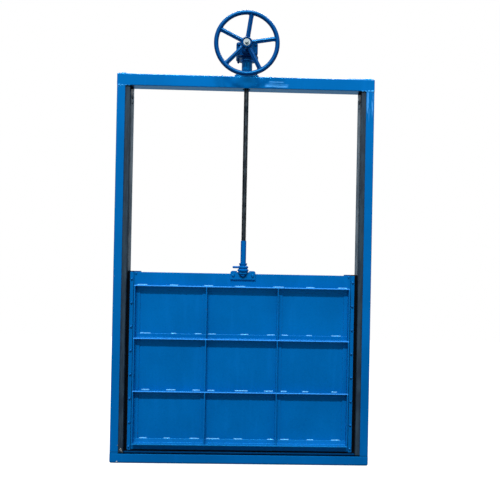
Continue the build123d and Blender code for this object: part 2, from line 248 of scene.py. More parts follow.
# %% Enamel
def paint(name, color, roughness, pebble, edge, cast=0.0, edge_light=1.7, wave=1.0, gloss=0.5,
          dull_edge=0.0, lit_front_y=None, glints=(), shade_boxes=()):
    """Enamel on steel. Pebble is the height of the spray's texture and edge the radius of the paint
    over an edge, both in metres; cast adds the coarse skin of a sand casting. The edge factor is how many
    times lighter edges are painted: above 1 a painted highlight, below 1 a painted shade. Wave is how uneven
    the plate is, gloss how strongly the coat mirrors and dull_edge how much rougher it is at an edge. What
    lies in front of the given depth is painted lighter all over, a painted highlight on lit fronts. Glints
    are boxes (low, high, stretch) of painted pale streaks, and shade boxes (low, high, share) are painted
    nearly black, a painted shade."""
    g = Graph(bpy.data.materials.new(name))
    # Where: waves of the plate, patches of a few centimetres, upright runs of paint, and sharp edges.
    broad = g.noise(2.5, detail=4.0)
    fine = g.noise(34.0, detail=5.0, shift=3.0)
    runs = g.noise(9.0, stretch=(3.0, 3.0, 0.35), shift=8.0)
    rounded = g.node("Bevel", {"samples": 6}, {"Radius": edge})
    sharpness = 1 - g.alike(rounded, g.node("NewGeometry", output="Normal"))
    chips = g.step(fine, 0.67, 0.69) * g.step(sharpness, *EDGE_CHIPPED)
    thin, thick = tone(color, 0.84), tone(color, 1.2, 0.002)
    # Edges are painted this many times lighter, a painted highlight; below 1 they are darker, a painted shade.
    painted_edge_tone = tone(color, edge_light, 0.03 * max(0.0, edge_light - 1.0))

    # Colour: thin and thick places, painted light and shade on edges, fronts and boxes, painted glints, chips.
    shade = g.blend(g.step(broad, 0.32, 0.72), thin, color)
    shade = g.blend(g.step(runs, 0.5, 0.8) * 0.3, shade, thick)
    shade = g.blend(g.step(sharpness, *EDGE_PAINTED_LIGHT) * 0.8, shade, painted_edge_tone)
    # What lies in front of this depth is painted lighter too: a painted highlight on the lit fronts.
    if lit_front_y is not None:
        behind = g.step(g.coordinate(1), *(lit_front_y + depth for depth in LIT_FRONT_DEPTH))
        shade = g.blend((1 - behind) * 0.9, shade, painted_edge_tone)
    # Boxes of painted shade, darkened towards nearly black.
    for low, high, share in shade_boxes:
        shade = g.blend(inside(g, low, high, SHADE_FADE) * share, shade, PAINTED_SHADE_DARK)
    # Painted glints: pale streaks of noise inside boxes.
    for low, high, stretch in glints:
        streaks = g.step(g.noise(60.0, stretch=stretch, detail=2.0, shift=2.5), 0.5, 0.58)
        shade = g.blend(streaks * inside(g, low, high) * 0.85, shade, GLINT_PALE)
    shade = g.blend(chips * 0.8, shade, PRIMER)

    # Height and gloss: the spray's pebbles on the plate's waves, and the skin of a casting.
    height = g.noise(420.0, detail=2.0) * pebble + (broad * 0.004 + runs * 0.0012) * wave
    if cast:
        height = height + g.noise(190.0, detail=4.0, shift=5.0) * cast
    rough = roughness + fine * 0.12 + chips * 0.4 + g.step(sharpness, *EDGE_DULL) * dull_edge
    return g.surface(shade, Roughness=rough, Normal=g.bumps(height, 0.6, Normal=rounded), **{
        "Specular IOR Level": gloss, "Specular Tint": MIRROR_TINT})


print("an edge of 90 degrees has a sharpness of", round(1 - np.cos(np.radians(45)), 2))

# %% [markdown]
# ## The frame's coat
# The folded channels are sprayed smooth and mirror what is in front of them. Their edges are painted a
# little darker, a painted shade. At the top of the right jamb and on the beam, pale streaks are painted
# into the coat as painted glints: boxes of noise that is stretched up the jamb and along the beam. In the
# sill's groove, along its lower edge and in its joints with the jambs, the coat is painted nearly black in
# boxes, a painted shade. A box of coordinates is enough here, because each of these places is straight.

# %% Enamel of the frame
FRAME_BLUE = rgb(0, 88, 157)
UP_THE_JAMB, ALONG_THE_BEAM = (1.4, 0.2, 0.12), (0.07, 0.2, 1.8)
GLINTS = [
    ((0.958, -0.2, 2.72), (0.972, 0, 2.955), UP_THE_JAMB),
    ((0.986, -0.2, 2.76), (1.006, 0, 2.955), UP_THE_JAMB),
    ((0.18, -0.2, 3.005), (0.29, 0, 3.022), ALONG_THE_BEAM),
    ((0.15, -0.2, 2.966), (0.33, 0, 2.992), ALONG_THE_BEAM),
]
# Boxes of painted shade: the groove, the lower edge and the joints are darkened nearly black.
PAINTED_SHADE_BOXES = [
    ((-1.0, -0.114, 0.004), (1.0, -0.060, 0.0725), 0.9),  # in the groove
    ((-2.0, -0.2, -0.1), (2.0, 0.1, 0.010), 0.6),  # along the lower edge
    ((-1.1, -0.2, 0.082), (-0.944, -0.115, 0.087), 0.6),  # in the left joint
    ((0.944, -0.2, 0.072), (1.1, -0.115, 0.077), 0.6),  # in the right joint
]
# The frame's edges are painted a little darker, a painted shade.
finishes = {"blue_paint": paint(
    "frame_enamel", FRAME_BLUE, roughness=0.12, pebble=0.00002, edge=0.006, edge_light=0.7, wave=0.2, gloss=1.0,
    dull_edge=0.35, glints=GLINTS, shade_boxes=PAINTED_SHADE_BOXES)}
# The muddy places counted here are boxes of painted shade.
print(len(GLINTS), "streaked places and", len(PAINTED_SHADE_BOXES), "muddy ones")

# %% [markdown]
# ## Coats of the other pieces
# The same enamel looks different on every kind of piece. The leaf is sprayed less smoothly than the frame.
# Castings keep the skin of the sand they were cast in. Beads of weld get a pale blue, a painted highlight
# of the lamps in their many small curves. The pads and the sill's seat get a dull dark blue, a painted
# shade. The upper ribs are painted pale along their fronts and edges, a painted highlight, the lowest one
# is paler all over, a painted highlight on its lit top, and the skin is painted darker at its edges, a
# painted shade. One function makes all these coats, so that they stay one paint.

# %% Enamel of the other pieces
LEAF_BLUE = rgb(0, 95, 166)
# A lighter blue for the lowest rib: a painted highlight on its lit top.
LEDGE_LIT_BLUE = rgb(10, 110, 182)
FITTING_BLUE = rgb(0, 89, 164)
CAST_BLUE = rgb(0, 47, 109)
GEARBOX_BLUE = rgb(0, 46, 104)
# A darker blue for the pads, the sill's seat and the base bolts: a painted shade.
PAD_SHADE_BLUE = rgb(0, 62, 116)
# Lighter blues for the beads on the ribs and on the frame's joints: painted highlights.
WELD_HIGHLIGHT_BLUE = rgb(108, 184, 234)
JOINT_HIGHLIGHT_BLUE = rgb(56, 150, 220)
rib_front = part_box("row_rib_1")[0].y
# The edges of the leaf, the castings and the fittings are painted a little lighter, a painted highlight.
finishes["leaf_paint"] = paint(
    "leaf_enamel", LEAF_BLUE, roughness=0.22, pebble=0.00004, edge=0.004, edge_light=1.5)
finishes["blue_casting"] = paint(
    "enamel_on_castings", CAST_BLUE, roughness=0.26, pebble=0.00001, edge=0.002, cast=0.00002, edge_light=1.2,
    wave=0.08, gloss=0.65)
weld_highlight_finish = paint(
    "enamel_on_welds_painted_highlight", WELD_HIGHLIGHT_BLUE, roughness=0.1, pebble=0.00003, edge=0.001)
joint_highlight_finish = paint(
    "enamel_on_joints_painted_highlight", JOINT_HIGHLIGHT_BLUE, roughness=0.1, pebble=0.00003, edge=0.001)
gearbox_finish = paint(
    "enamel_on_gearbox", GEARBOX_BLUE, roughness=0.2, pebble=0.00003, edge=0.002, cast=0.0002)
pad_shade_finish = paint(
    "enamel_on_pads_painted_shade", PAD_SHADE_BLUE, roughness=0.3, pebble=0.00003, edge=0.001)
# The seat also takes the frame's boxes of painted shade.
seat_shade_finish = paint(
    "enamel_on_sill_seat_painted_shade", PAD_SHADE_BLUE, roughness=0.3, pebble=0.00003, edge=0.001, edge_light=1.0, shade_boxes=PAINTED_SHADE_BOXES)
# The ribs' edges and fronts are painted pale, a painted highlight.
rib_lit_finish = paint(
    "enamel_on_ribs_painted_highlight", LEAF_BLUE, roughness=0.22, pebble=0.00004, edge=0.004, edge_light=2.4, lit_front_y=rib_front)
ledge_lit_finish = paint(
    "enamel_on_lowest_rib_painted_highlight", LEDGE_LIT_BLUE, roughness=0.22, pebble=0.00004, edge=0.004, edge_light=1.6)
fitting_finish = paint(
    "enamel_on_fittings", FITTING_BLUE, roughness=0.3, pebble=0.00002, edge=0.001, edge_light=1.1, wave=0.2,
    gloss=0.3)
# The skin's edges are painted darker, a painted shade.
skin_edge_shade_finish = paint(
    "enamel_on_skin_painted_edge_shade", LEAF_BLUE, roughness=0.22, pebble=0.00004, edge=0.006, edge_light=0.5)
print("paints for slots:", ", ".join(finishes))

# %% [markdown]
# ## Guide bars, seals and rubber
# The jambs are lined with dark polymer bars that have been handled, splashed and rubbed, and behind them
# runs a lighter strip for the seal. Both are mottled along their length. Noise that is stretched along Z
# gives streaks, and a second, rounder noise gives the blotches. The strip's top, in the shade under the
# beam, is painted pale, a painted light. The leaf's side and bottom seals are black rubber with a little dust on
# it.

# %% Polymer and rubber
# Between these heights the strip's top is painted pale, a painted light in the shade under the beam.
LIT_TOP_FROM, LIT_TOP_TO = 2.885, 2.925
TOP_PAINTED_LIGHT, PIT, DUST = rgb(222, 230, 236), rgb(16, 19, 22), rgb(30, 34, 38)


def polymer(name, dark, light, roughness, lit_top=0.0):
    """A sawn polymer bar: streaks along Z, blotches of light dirt and a few dark pits. The top factor is how
    much of its top is painted pale, a painted light."""
    g = Graph(bpy.data.materials.new(name))
    streaks = g.noise(60.0, stretch=(1.0, 1.0, 0.12), detail=4.0)
    blotches = g.noise(16.0, stretch=(1.0, 1.0, 0.4), detail=4.0, shift=4.0)
    pits = g.step(g.noise(85.0, stretch=(1.0, 1.0, 0.6), detail=2.0, shift=9.0), 0.66, 0.72)
    shade = g.blend(g.step(streaks * 0.5 + blotches * 0.5, 0.36, 0.64), dark, light)
    # The top is painted pale: a painted light where the beam's shade falls.
    shade = g.blend(g.step(g.coordinate(2), LIT_TOP_FROM, LIT_TOP_TO) * lit_top, shade, TOP_PAINTED_LIGHT)
    shade = g.blend(pits * 0.75, shade, PIT)
    normal = g.bumps(streaks * 0.0006 - pits * 0.0005)
    return g.surface(shade, Roughness=roughness + blotches * 0.25, Normal=normal, **{"Specular IOR Level": 0.3})


def rubber(name, color):
    """Moulded rubber with a bloom of dust on it."""
    g = Graph(bpy.data.materials.new(name))
    dust, grain = g.noise(12.0, detail=5.0), g.noise(300.0, detail=2.0, shift=2.0)
    shade = g.blend(g.step(dust, 0.5, 0.8) * 0.1, color, DUST)
    normal = g.bumps(grain * 0.0002)
    return g.surface(shade, Roughness=0.7 + dust * 0.2, Normal=normal, **{"Specular IOR Level": 0.05})


finishes["guide_polymer"] = polymer("guide_polymer", rgb(8, 25, 38), rgb(32, 52, 65), 0.6)
finishes["seal_strip"] = polymer("seal_strip", rgb(64, 77, 88), rgb(97, 109, 119), 0.45, lit_top=0.95)
finishes["black_rubber"] = rubber("black_rubber", rgb(4, 5, 7))
print("finishes for slots:", ", ".join(finishes))

# %% [markdown]
# ## Steel
# The stem is bare steel under a film of dark grease, and the wheel's shaft, washer and nut are zinc plated.
# Metal gets nearly all its look from what it mirrors, so its roughness matters more than its colour: the
# grease makes it uneven, and the zinc has the small crystals of a plated surface.

# %% Steel
GREASE = rgb(22, 22, 24)


def steel(name, color, roughness, grease, spangle):
    """Bare or plated steel: grease darkens it in patches, and spangle, the crystals a metre, breaks up
    its gloss."""
    g = Graph(bpy.data.materials.new(name))
    patches = g.noise(40.0, stretch=(1.0, 1.0, 0.5), detail=4.0)
    crystals = g.noise(spangle, detail=2.0, shift=6.0)
    film = g.step(patches, 0.3, 0.6) * grease
    shade = g.blend(film, color, GREASE)
    normal = g.bumps(crystals * 0.00008)
    return g.surface(shade, Metallic=1 - film * 0.6, Roughness=roughness + crystals * 0.15, Normal=normal)


finishes["stem_steel"] = steel("greased_steel", rgb(84, 80, 78), roughness=0.34, grease=0.9, spangle=150.0)
finishes["plated_steel"] = steel("zinc_plate", rgb(138, 136, 130), roughness=0.42, grease=0.15, spangle=500.0)
print("steels:", finishes["stem_steel"].name, "and", finishes["plated_steel"].name)

# %% [markdown]
# ## Each solid gets its finish
# The record names a material slot for every solid, and each slot has one finish. Pieces that look
# different in the same coat get a special finish instead: a list of finishes, each with its pieces, is
# shorter to read and to change than a line for every solid.

# %% Give out the finishes
special_finishes = [
    (gearbox_finish, ["gearbox_housing", "gearbox_cover", "bearing_cover", "pedestal_flange"]),
    (fitting_finish, ["stem_sleeve", "stem_collar", "lock_ring", "stem_nut", "foot_nut"]),
    (rib_lit_finish, ["row_rib_1", "row_rib_2", "row_rib_3"]),
    (ledge_lit_finish, ["row_rib_4"]),
    (skin_edge_shade_finish, ["skin_plate"]),
    (pad_shade_finish, ["left_top_pad", "right_top_pad"]),
    (seat_shade_finish, ["sill_seat"]),
]
special = {node: finish for finish, members in special_finishes for node in members}
for subpart in frame["record"]["subparts"]:
    finish = special.get(subpart["node"], finishes[subpart["material_slot"]])
    for slot in nodes[subpart["node"]].material_slots:
        slot.material = finish
print(len(nodes) - len(special), "solids have their slot's finish,", len(special), "a special one")

# %% [markdown]
# ## Surfaces from grids
# Every added part is a surface: a grid of points worked out from two parameters, all at once as arrays.
# One helper turns any number of such grids into a mesh. The last column of a grid repeats the first, and
# a row may shrink to one point: merging points that coincide closes the seam and the ends.

# %% Grid to mesh
SAME_POINT = 1e-6


def quads(rows, columns):
    """The four corner numbers of every cell of a grid of points."""
    number = np.arange(rows * columns).reshape(rows, columns)
    corners = [number[:-1, :-1], number[:-1, 1:], number[1:, 1:], number[1:, :-1]]
    return np.stack(corners, axis=-1).reshape(-1, 4)


def piece(name, grids, slot, body, crease=40.0, finish=None):
    """A mesh of closed surfaces, each a grid of points (rows, columns, 3). Crease is the angle in
    degrees from which an edge is sharp, and finish takes the place of the slot's own."""
    points, faces, count = [], [], 0
    for grid in grids:
        rows, columns = grid.shape[:2]
        points.append(grid.reshape(-1, 3))
        faces.append(quads(rows, columns) + count)
        count += rows * columns
    mesh = bpy.data.meshes.new(name)
    mesh.from_pydata(np.concatenate(points).tolist(), [], np.concatenate(faces).tolist())
    work = bmesh.new()
    work.from_mesh(mesh)
    bmesh.ops.remove_doubles(work, verts=work.verts, dist=SAME_POINT)
    bmesh.ops.recalc_face_normals(work, faces=work.faces)
    work.to_mesh(mesh)
    work.free()
    mesh.shade_smooth()
    mesh.set_sharp_from_angle(angle=np.radians(crease))
    mesh.materials.append(finish or finishes[slot])
    made = bpy.data.objects.new(name, mesh)
    bpy.context.scene.collection.objects.link(made)
    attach(made, body)
    mesh.calc_loop_triangles()
    print(f"{name}: {len(grids)} surfaces, {len(mesh.loop_triangles)} triangles, on {body}")
    return made


print("a grid of 3 by 4 points has", len(quads(3, 4)), "cells")

# %% [markdown]
# ## The stem's thread
# The stem is a trapezoidal screw, 38 mm over its crests, with a pitch of 6 mm. Stacked rings would look
# nearly the same but wouldn't climb, so the surface is a true spiral: the height of each point grows by one
# pitch for each turn, and across one pitch the radius goes root, flank, crest, flank. The spiral starts at
# the sleeve's top and ends under the turned tip, where its rows are pressed flat onto the root's circle.

# %% Thread
PITCH = 0.006
CREST = 0.0192
ROOT = CREST - PITCH / 2
ROOT_END, CREST_START, CREST_END = 0.366, 0.5, 0.866


def thread(foot, top, root, crest, pitch, around=24):
    """The point of turn t and share p of the pitch is at height foot + (t + p + angle / 360) * pitch,
    with the radius of the trapezoid at p. Heights are held between foot and top, and the radius beyond
    them is the root's."""
    shares = np.array([0.0, ROOT_END, CREST_START, CREST_END])
    radii = np.array([root, root, crest, crest])
    turns = int(np.ceil((top - foot) / pitch)) + 1
    steps = (np.arange(-1, turns)[:, None] + shares[None, :]).reshape(-1)
    radius = np.tile(radii, turns + 1)[:, None]
    angle = np.linspace(0, 2 * np.pi, around + 1)[None, :]
    height = foot + (steps[:, None] + angle / (2 * np.pi)) * pitch
    outside = (height < foot) | (height > top)
    radius = np.where(outside, root, radius + 0 * angle)
    height = np.clip(height, foot, top)
    return np.stack([radius * np.cos(angle), radius * np.sin(angle), height], axis=-1)


print("the flanks rise by", round((CREST - ROOT) / PITCH, 2), "of a pitch")

# %% Threaded stem
def turned(profile, sides=24):
    """A profile of (radius, height) carried round the Z axis: (r cos a, r sin a, h) at angle a."""
    profile = np.array(profile)
    angle = np.linspace(0, 2 * np.pi, sides + 1)[None, :]
    radius, height = profile[:, :1], profile[:, 1:]
    return np.stack([radius * np.cos(angle), radius * np.sin(angle), height + 0 * angle], axis=-1)


STUD = 0.012
SHELF_DROP = 0.009
CHAMFER = 0.001
stem_low, stem_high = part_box("stem")
STEM_AXIS = ((stem_low.x + stem_high.x) / 2, (stem_low.y + stem_high.y) / 2, 0)
rod = (stem_high.x - stem_low.x) / 2
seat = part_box("stem_bracket")[1].z - SHELF_DROP
thread_foot, thread_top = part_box("stem_sleeve")[1].z - 0.001, stem_high.z - 0.006
plain = turned([(0, stem_low.z), (STUD - CHAMFER, stem_low.z), (STUD, stem_low.z + CHAMFER), (STUD, seat),
                (rod, seat), (rod, thread_foot), (ROOT, thread_foot)])
tip = turned([(ROOT, thread_top), (ROOT - 0.002, stem_high.z), (0, stem_high.z)])
spiral = thread(thread_foot, thread_top, ROOT, CREST, PITCH)
stem_grids = [grid + STEM_AXIS for grid in (plain, spiral, tip)]
stem_piece = piece("threaded_stem", stem_grids, "stem_steel", "gate_leaf", 30.0)
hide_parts("stem")

# %% [markdown]
# ## Weld beads
# Every plate here is joined by welding. A bead in a corner is a quarter of a round bar, built from small
# overlapping ripples, and a bead over a flush joint is a low half round. Both are the same surface: a fan
# of directions from one leg to the other, carried along a path, while its size swells once for each ripple.

# %% Beads
chance = np.random.default_rng(11)
RIPPLE_DEPTH, UNSTEADY_HAND = 0.2, 0.08
TAPER = 0.006


def bead(path, first, second, sweep=90.0, ripple=0.006, closed=False):
    """Point of row s and angle a: path(s) + size(s) * (cos a * first + sin a * second). Size goes from
    0.9 to 1.1 and back in each ripple. Unless the path is closed, it also varies a little by chance and
    falls to nothing at both ends, as the root of the distance."""
    path = np.asarray(path, float)
    first, second = np.broadcast_to(first, path.shape), np.broadcast_to(second, path.shape)
    along = np.concatenate([[0], np.cumsum(np.linalg.norm(np.diff(path, axis=0), axis=1))])
    size = 0.9 + RIPPLE_DEPTH * np.abs(np.sin(np.pi * along / ripple))
    if not closed:
        size = size * (1 + UNSTEADY_HAND * chance.standard_normal(len(path)))
        size = size * np.sqrt(np.clip(np.minimum(along, along[-1] - along) / TAPER, 0, 1))
    angle = np.radians(np.linspace(0, sweep, 6))[None, :, None]
    fan = np.cos(angle) * first[:, None] + np.sin(angle) * second[:, None]
    return np.concatenate([path[:, None], path[:, None] + size[:, None, None] * fan, path[:, None]], axis=1)


def straight(start, end, spacing=0.002):
    """Evenly spaced points from start to end."""
    start, end = np.array(start, float), np.array(end, float)
    count = max(3, int(np.linalg.norm(end - start) / spacing))
    return start + np.linspace(0, 1, count)[:, None] * (end - start)


print("a run of 80 mm has", len(straight((0, 0, 0), (0.08, 0, 0))), "rows")

# %% [markdown]
# ## Stitches on the ribs
# The ribs are bent angles that are tacked to the skin with short runs of weld, 50 to 110 mm long. From the
# front the runs above each horizontal rib catch the light, so their places are measured from the picture,
# rib by rib from the top. The runs below the ribs lie in shadow and are put at the same places. The upper
# runs are painted pale, a painted highlight, and the lower ones keep the leaf's blue.

# %% Rib welds
LEG = 0.005
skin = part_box("skin_plate")[0].y
rib_runs = [
    [(-0.839, -0.755), (-0.582, -0.511), (-0.309, -0.233), (-0.064, 0.022), (0.244, 0.329),
     (0.504, 0.576), (0.759, 0.837)],
    [(-0.810, -0.721), (-0.564, -0.517), (-0.376, -0.318), (-0.269, -0.207), (-0.013, 0.054),
     (0.199, 0.263), (0.306, 0.371), (0.513, 0.561), (0.713, 0.794)],
    [(-0.788, -0.724), (-0.593, -0.516), (-0.385, -0.323), (-0.268, -0.208), (-0.049, 0.058),
     (0.185, 0.258), (0.314, 0.369), (0.489, 0.541), (0.722, 0.772)],
    [(-0.800, -0.737), (-0.607, -0.552), (-0.401, -0.323), (-0.268, -0.161), (-0.051, 0.020),
     (0.215, 0.269), (0.319, 0.392), (0.532, 0.587), (0.729, 0.798)],
]
bright, shaded = [], []
for number, places in enumerate(rib_runs, start=1):
    low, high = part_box(f"row_rib_{number}")
    for left, right in places:
        run = straight((left, skin, 0), (right, skin, 0))
        bright.append(bead(run + (0, 0, high.z), (0, 0, LEG), (0, -LEG, 0)))
        shaded.append(bead(run + (0, 0, low.z), (0, 0, -LEG), (0, -LEG, 0)))
# The upper runs take the pale weld coat, a painted highlight; the lower ones keep the leaf's coat.
piece("rib_stitches", bright, "leaf_paint", "gate_leaf", 60.0, weld_highlight_finish)
piece("lower_rib_stitches", shaded, "leaf_paint", "gate_leaf", 60.0)

# %% [markdown]
# ## Bolts
# A bolt head is a hexagon whose corners are turned off. In polar form a hexagon is its apothem divided by
# the cosine of the angle from the nearest flat, and the turned-off corners are the smaller of that and a
# cone. Twelve columns are enough: six corners and six flats. A washer and a bolt's end are turned parts.

# %% Bolt heads
def hex_head(across, height):
    """Radius at angle a and height h: the smaller of the hexagon's and a cone's, for a head that stands
    on z = 0. The cone is given at six levels, as shares of the width across the flats."""
    angle = np.radians(np.arange(0, 361, 30))[None, :]
    flat = across / 2 / np.cos(np.radians(np.degrees(angle) % 60 - 30))
    levels = np.array([0, 0, height - 0.12 * across, height - 0.04 * across, height, height])[:, None]
    cone = across * np.array([0, 0.6, 0.6, 0.53, 0.46, 0])[:, None]
    radius = np.minimum(flat, cone)
    return np.stack([radius * np.cos(angle), radius * np.sin(angle), levels + 0 * angle], axis=-1)


def toward(grid, at, axis):
    """Turn a grid that stands on z = 0 so that it stands at a point along an axis: its Z becomes the
    axis, and its X and Y two directions across it."""
    axis = np.array(axis, float)
    side = np.cross(axis, UP if abs(axis[2]) < 0.5 else (0, 1, 0))
    return grid @ np.array([side, np.cross(axis, side), axis]) + np.array(at)


def bolt(at, axis, across, height, washer=0.0, thick=0.002, end=0.0):
    """A head or nut on a washer of this radius and thickness; end is how far a bolt stands out of its
    nut."""
    axis = np.array(axis, float)
    made = [toward(hex_head(across, height), np.array(at) + axis * thick * (washer > 0), axis)]
    if washer:
        disc = [(0, 0), (washer, 0), (washer, thick * 0.8), (washer - 0.0004, thick), (0, thick)]
        made.append(toward(turned(disc, 16), at, axis))
    if end:
        shank, top = across * 0.3, height + thick + end
        profile = [(0, height), (shank, height), (shank, top - 0.001), (across * 0.25, top), (0, top)]
        made.append(toward(turned(profile, 12), at, axis))
    return made


print("a head of 19 mm is", round(1000 * np.ptp(hex_head(0.019, 0.012)[2, :, 0]), 1), "mm over its corners")

# %% [markdown]
# ## Bolts on the leaf
# Eight bolts on each side clamp the side seals under their bars, 189 mm apart, with a smaller one at each
# pad. The stem's bracket hangs on two larger ones.

# %% Leaf bolts
BAR_BOLT_X, BAR_BOLT_HEIGHTS = 0.877, np.linspace(0.118, 1.441, 8)
PAD_BOLT_X, PAD_BOLT_Z = 0.846, 1.486
BRACKET_BOLT_X, BRACKET_BOLT_Z, BRACKET_PLATE = 0.077, 1.483, 0.015
bar_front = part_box("right_side_bar")[0].y
seal_bolts, bracket_bolts = [], []
for side in (-1, 1):
    for z in BAR_BOLT_HEIGHTS:
        seal_bolts += bolt((side * BAR_BOLT_X, bar_front, z), OUT, 0.015, 0.010, washer=0.0095, end=0.005)
    seal_bolts += bolt((side * PAD_BOLT_X, skin, PAD_BOLT_Z), OUT, 0.012, 0.008, washer=0.008)
    on_bracket = (side * BRACKET_BOLT_X, skin - BRACKET_PLATE, BRACKET_BOLT_Z)
    bracket_bolts += bolt(on_bracket, OUT, 0.019, 0.012, washer=0.013)
piece("seal_bolts", seal_bolts, "leaf_paint", "gate_leaf", 25.0)
piece("bracket_bolts", bracket_bolts, "blue_paint", "gate_leaf", 25.0)

# %% [markdown]
# ## Bolts on the pedestal and the gearbox
# Eight bolts go down through bosses on the gearbox's foot into nuts under the round flange. They are
# painted with the gearbox, all but one that was put in later and is bright zinc. Four hold the square
# bearing flange, six the lid, and four the base plate on the beam.

# %% Gearbox bolts
def round_the_stem(radius, first, count):
    """The places (x, y) of this many bolts on a circle round the stem; the angle of the first is in
    degrees from the front."""
    turn = np.radians(first + 360 / count * np.arange(count))
    return zip(radius * np.sin(turn), STEM_AXIS[1] - radius * np.cos(turn))


FOOT_THICKNESS, LID_THICKNESS, CAP_FLANGE = 0.014, 0.010, 0.016
NEW_BOLT = 7
boss = turned([(0, 0), (0.0115, 0), (0.0115, 0.006), (0.0105, 0.007), (0, 0.007)], 16)
gear_bolts, new_bolt = [], []
flange_low, flange_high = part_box("pedestal_flange")
foot_top = flange_high.z + FOOT_THICKNESS
for number, (x, y) in enumerate(round_the_stem(0.076, 22.5, 8)):
    gear_bolts.append(toward(boss, (x, y, foot_top - 0.001), UP))
    heads = new_bolt if number == NEW_BOLT else gear_bolts
    heads.extend(bolt((x, y, foot_top + 0.006), UP, 0.017, 0.009))
    gear_bolts += bolt((x, y, flange_low.z), DOWN, 0.017, 0.010, washer=0.0105, end=0.005)
cap_low, cap_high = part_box("bearing_cover")
for x in (-0.066, 0.066):
    for z in (-0.033, 0.033):
        on_cap = (x, cap_high.y - CAP_FLANGE, (cap_low.z + cap_high.z) / 2 + z)
        gear_bolts += bolt(on_cap, OUT, 0.019, 0.009, washer=0.012)
lid_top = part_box("gearbox_cover")[0].z + LID_THICKNESS
for x, y in round_the_stem(0.056, 30.0, 6):
    gear_bolts += bolt((x, y, lid_top), UP, 0.013, 0.006)
piece("new_bolt", new_bolt, "plated_steel", "frame", 25.0)
piece("gearbox_bolts", gear_bolts, "blue_casting", "frame", 25.0, gearbox_finish)

# %% Base plate bolts
BASE_BOLT_INSET = 0.020
base_low, base_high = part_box("pedestal_base")
base_bolts = []
for x in (base_low.x + BASE_BOLT_INSET, base_high.x - BASE_BOLT_INSET):
    for y in (base_low.y + BASE_BOLT_INSET, base_high.y - BASE_BOLT_INSET):
        base_bolts += bolt((x, y, base_high.z), UP, 0.019, 0.010, washer=0.012)
# The base bolts take the pads' dark coat, a painted shade.
piece("base_bolts", base_bolts, "blue_paint", "frame", 25.0, pad_shade_finish)

# %% [markdown]
# ## Welds on the frame
# The beam sits on the jambs and is welded round. At the front the bead lies over the flush joint, rough where
# it was run by hand, and more beads lie along the ends of the beam's top edge, with a short tack on each
# side of the pedestal. The pedestal's pipe has a bead at each end. All these beads are painted a lighter blue
# than the frame, a painted highlight. Each run is given by its start and end, as distances from the middle,
# and by how tall it is. The right joint is welded more boldly than the left.

# %% Frame welds
JOINT_OUT, TOP_OUT = 0.004, 0.008
TACK = 0.006
joint_runs = [(1.012, 0.986, 0.0065), (0.983, 0.962, 0.0055), (0.958, 0.935, 0.003), (0.932, 0.910, 0.0025)]
boldness = {-1: 0.95, 1: 1.35}
top_runs = {
    -1: [(1.008, 0.968, 0.005), (0.985, 0.940, 0.008), (0.945, 0.860, 0.003)],
    1: [(1.010, 0.980, 0.008), (0.992, 0.925, 0.012), (0.930, 0.800, 0.006), (0.805, 0.660, 0.003)],
}
beam_low, beam_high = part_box("top_beam")
front = beam_low.y
frame_beads = []
for side in (-1, 1):
    for start, end, tall in joint_runs:
        run = straight((side * start, front, beam_low.z), (side * end, front, beam_low.z))
        rise = (0, 0, tall * boldness[side])
        frame_beads.append(bead(run, rise, (0, -JOINT_OUT, 0), sweep=180, ripple=0.012))
    for start, end, tall in top_runs[side]:
        y = front + 0.012
        run = straight((side * start, y, beam_high.z), (side * end, y, beam_high.z), spacing=0.003)
        frame_beads.append(bead(run, (0, TOP_OUT, 0), (0, 0, tall), sweep=180, ripple=0.02))
    y = front + 0.008
    run = straight((side * 0.185, y, beam_high.z), (side * 0.200, y, beam_high.z))
    frame_beads.append(bead(run, (0, TACK, 0), (0, 0, TACK), sweep=180))
print(len(frame_beads), "beads on the beam")

# %% Pipe welds
PIPE_LEG, PIPE_RIPPLES = 0.007, 40


def ring(radius, z, up, count=120):
    """A closed bead round the stem's axis, with one leg outwards and one along Z, up or down."""
    angle = np.linspace(0, 2 * np.pi, count + 1)
    spoke = np.stack([np.cos(angle), np.sin(angle), 0 * angle], axis=-1)
    path = spoke * radius + (STEM_AXIS[0], STEM_AXIS[1], z)
    return bead(path, spoke * PIPE_LEG, (0, 0, up), ripple=2 * np.pi * radius / PIPE_RIPPLES, closed=True)


pipe_low, pipe_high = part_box("pedestal_pipe")
pipe_radius = (pipe_high.x - pipe_low.x) / 2
frame_beads += [ring(pipe_radius, pipe_low.z, PIPE_LEG), ring(pipe_radius, pipe_high.z, -PIPE_LEG)]
# The frame's beads take a lighter blue, a painted highlight.
piece("frame_welds", frame_beads, "blue_paint", "frame", 60.0, joint_highlight_finish)

# %% [markdown]
# ## Rubber blocks and screws
# Under each end of the beam a flat black rubber block fills the corner behind the guide: a dark block put
# where deep shade falls, a painted shade. The seal strip is held by small countersunk screws, of which two
# dark heads show at the top on each side.

# %% Corner blocks
def rubber_block(low, high, ease=0.001):
    """A flat block with eased edges: a rectangle carried up through six levels. It is a point at the
    first and the last, a little smaller at the ends and of full size between."""
    low, high = np.array(low), np.array(high)
    corner = np.array([(-1, -1), (1, -1), (1, 1), (-1, 1), (-1, -1)])
    half, middle = (high[:2] - low[:2]) / 2, (high[:2] + low[:2]) / 2
    reach = np.array([half * 0, half - ease, half, half, half - ease, half * 0])
    z = np.array([low[2], low[2], low[2] + ease, high[2] - ease, high[2], high[2]])
    flat = middle + corner * reach[:, None]
    return np.concatenate([flat, np.broadcast_to(z[:, None, None], (6, 5, 1))], axis=2)


BLOCK_INNER, BLOCK_OUTER, BLOCK_THICKNESS = 0.900, 0.930, 0.010
shade_blocks = []
for side in (-1, 1):
    left, right = sorted((side * BLOCK_INNER, side * BLOCK_OUTER))
    under = beam_low.z - BLOCK_THICKNESS
    shade_blocks.append(rubber_block((left, front + 0.008, under), (right, -0.002, beam_low.z)))
